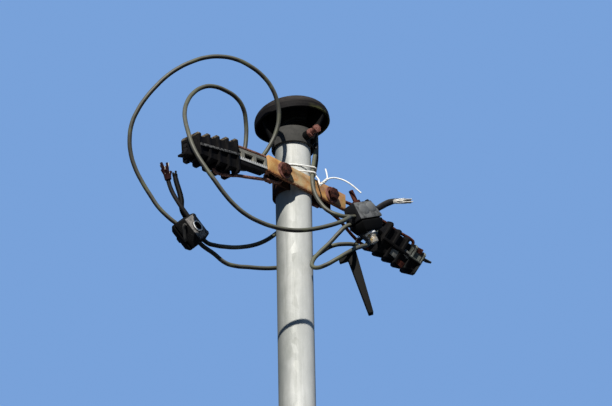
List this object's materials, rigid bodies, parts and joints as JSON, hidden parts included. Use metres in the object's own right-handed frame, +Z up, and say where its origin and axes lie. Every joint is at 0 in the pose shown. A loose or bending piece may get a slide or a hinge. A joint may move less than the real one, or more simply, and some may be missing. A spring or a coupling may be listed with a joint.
{
  "type": "steel service pole",
  "caption": "Galvanised tube post with a mushroom cap, a bolted bracket, wedge tension clamps and looped service cables with tap connectors.",
  "frame": {"origin": "centre of the post's foot, on the plane of its lower end", "axes": "+Z up along the post, +X to the right and -Y towards the viewer in the picture"},
  "size_m": [0.5032, 0.4365, 4.1828],
  "materials": {
    "galvanised": "hot-dip galvanised, weathered matt grey with a faint spangle",
    "cap": "weathered black, brown dust on top",
    "rust_dark": "dark red-brown rust",
    "rust_plate": "orange-tan rust bloom on worn zinc",
    "clamp_body": "black, dusty grey on the raised edges",
    "wedge_metal": "cast, dull, dusty",
    "connector_grey": "faded grey",
    "connector_black": "black",
    "connector_bolt": "zinc plated, partly rusted",
    "cable": "black insulation, greenish brown with dust",
    "tie": "white insulation",
    "spare": "weathered black"
  },
  "bodies": {
    "root": {"post_tube": "galvanised", "foot_disc": "galvanised", "cap_dome": "cap", "cap_collar": "cap", "cap_screw": "rust_dark", "cap_nut": "rust_dark", "bracket_plate": "rust_plate", "bracket_strap": "rust_dark", "left_bracket_bolt": "rust_dark", "right_bracket_bolt": "rust_dark", "left_bracket_nut": "rust_dark", "right_bracket_nut": "rust_dark", "left_clamp_body": "clamp_body", "left_clamp_wedge": "wedge_metal", "left_clamp_bail": "rust_dark", "left_line_ends": "cable", "right_clamp_body": "clamp_body", "right_clamp_wedge": "wedge_metal", "right_clamp_bail": "rust_dark", "right_line_ends": "cable", "left_connector_top": "connector_grey", "left_connector_low": "connector_black", "left_connector_bolt": "connector_bolt", "right_connector_top": "connector_grey", "right_connector_low": "connector_black", "right_connector_bolt": "connector_bolt", "service_riser": "cable", "second_riser": "cable", "service_cable": "cable", "second_core": "cable", "big_loop": "cable", "small_loop": "cable", "jumper": "cable", "return_loop": "cable", "left_stub_long": "cable", "left_stub_short": "cable", "right_stub": "cable", "tie_wire": "tie", "tie_tail": "tie", "spare_wedge": "spare", "spare_cord": "cable"}
  },
  "joints": []
}
